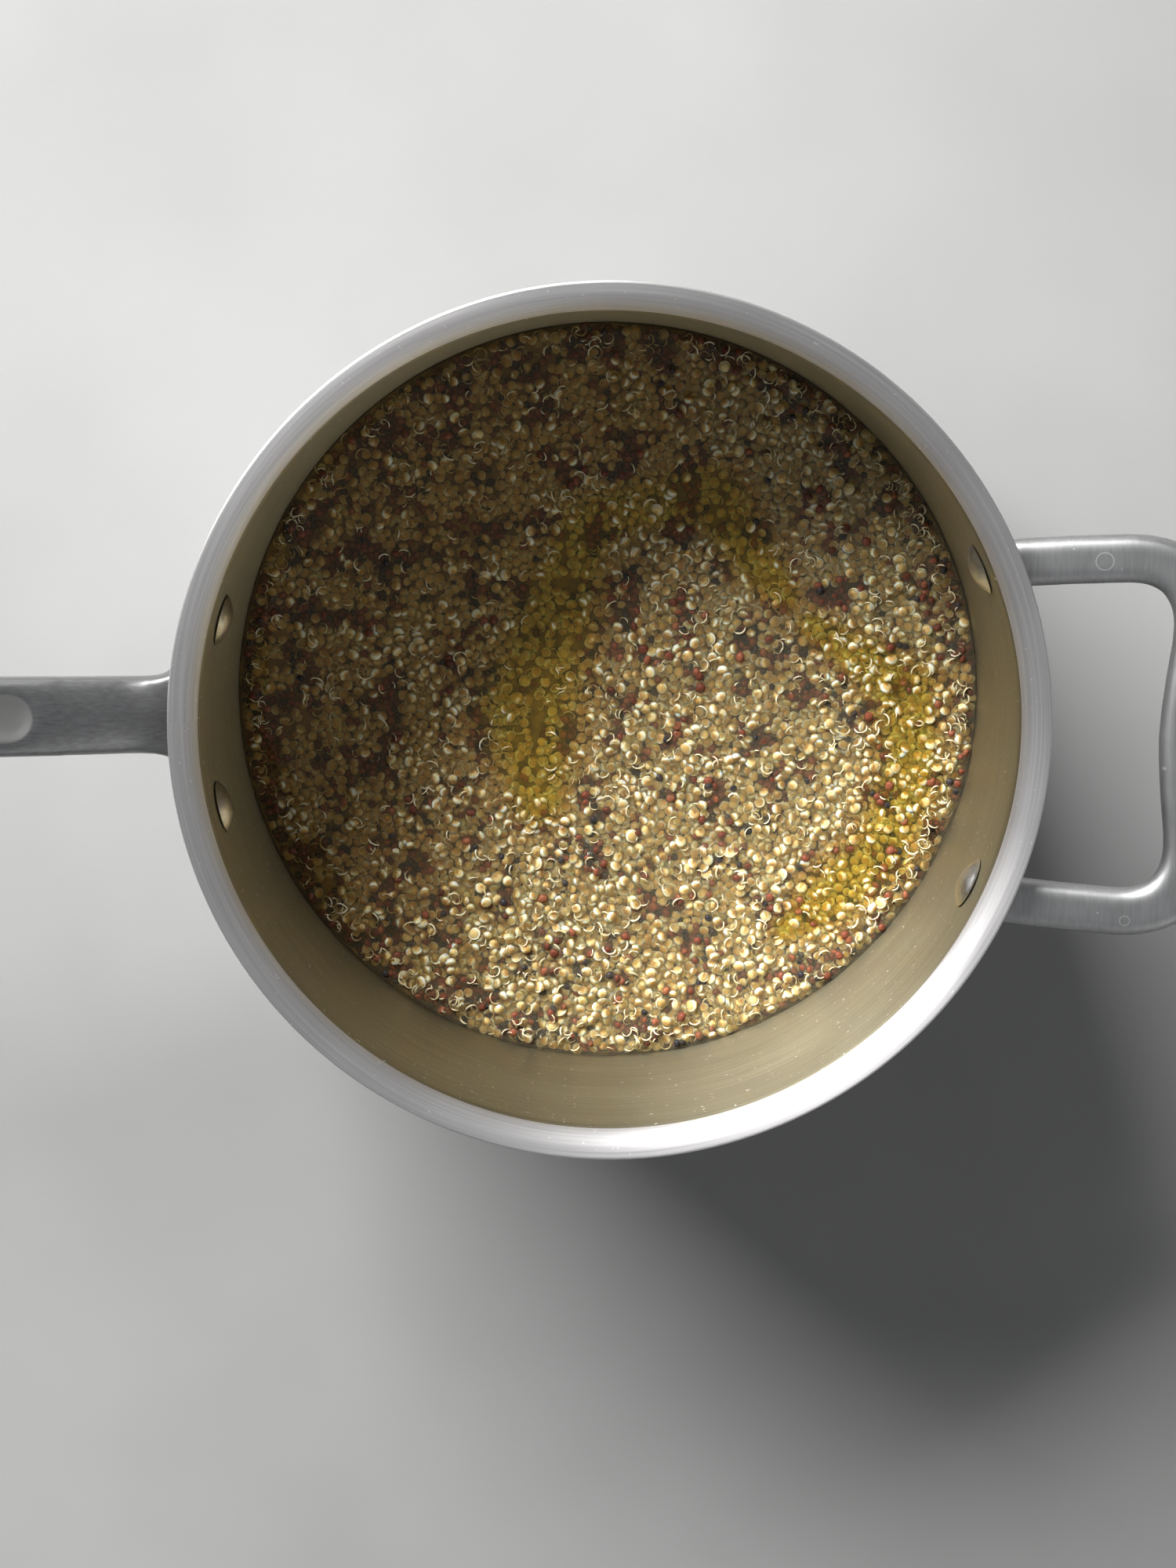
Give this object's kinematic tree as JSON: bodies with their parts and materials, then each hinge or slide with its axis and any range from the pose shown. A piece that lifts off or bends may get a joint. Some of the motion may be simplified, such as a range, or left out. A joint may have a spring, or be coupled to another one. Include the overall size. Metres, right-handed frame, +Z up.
{
  "type": "saucepan of quinoa",
  "caption": "Stainless steel saucepan with a long handle and a loop handle, part filled with simmered tri-colour quinoa in yellow broth.",
  "frame": {"origin": "centre of the flat outside of the pan's base, on the surface it stands on", "axes": "+Z up along the pan's axis, +X towards the loop handle, so the long handle points along -X, +Y to the left of someone looking along +X"},
  "size_m": [0.4517, 0.2146, 0.1372],
  "materials": {
    "brushed_pan_steel": "satin, brushed round the pan",
    "cast_handle_steel": "cast, brushed and softly rounded",
    "rivet_steel": "polished domes",
    "cooked_quinoa": "moist translucent grains, cream, red-brown and black",
    "yellow_broth": "thin clear yellow liquid"
  },
  "bodies": {
    "root": {"pan_body": "brushed_pan_steel", "long_handle": "cast_handle_steel", "loop_handle": "cast_handle_steel", "rivet_long_handle_1": "rivet_steel", "rivet_long_handle_2": "rivet_steel", "rivet_loop_handle_1": "rivet_steel", "rivet_loop_handle_2": "rivet_steel", "quinoa": "cooked_quinoa", "broth_arch": "yellow_broth", "broth_side": "yellow_broth"}
  },
  "joints": []
}
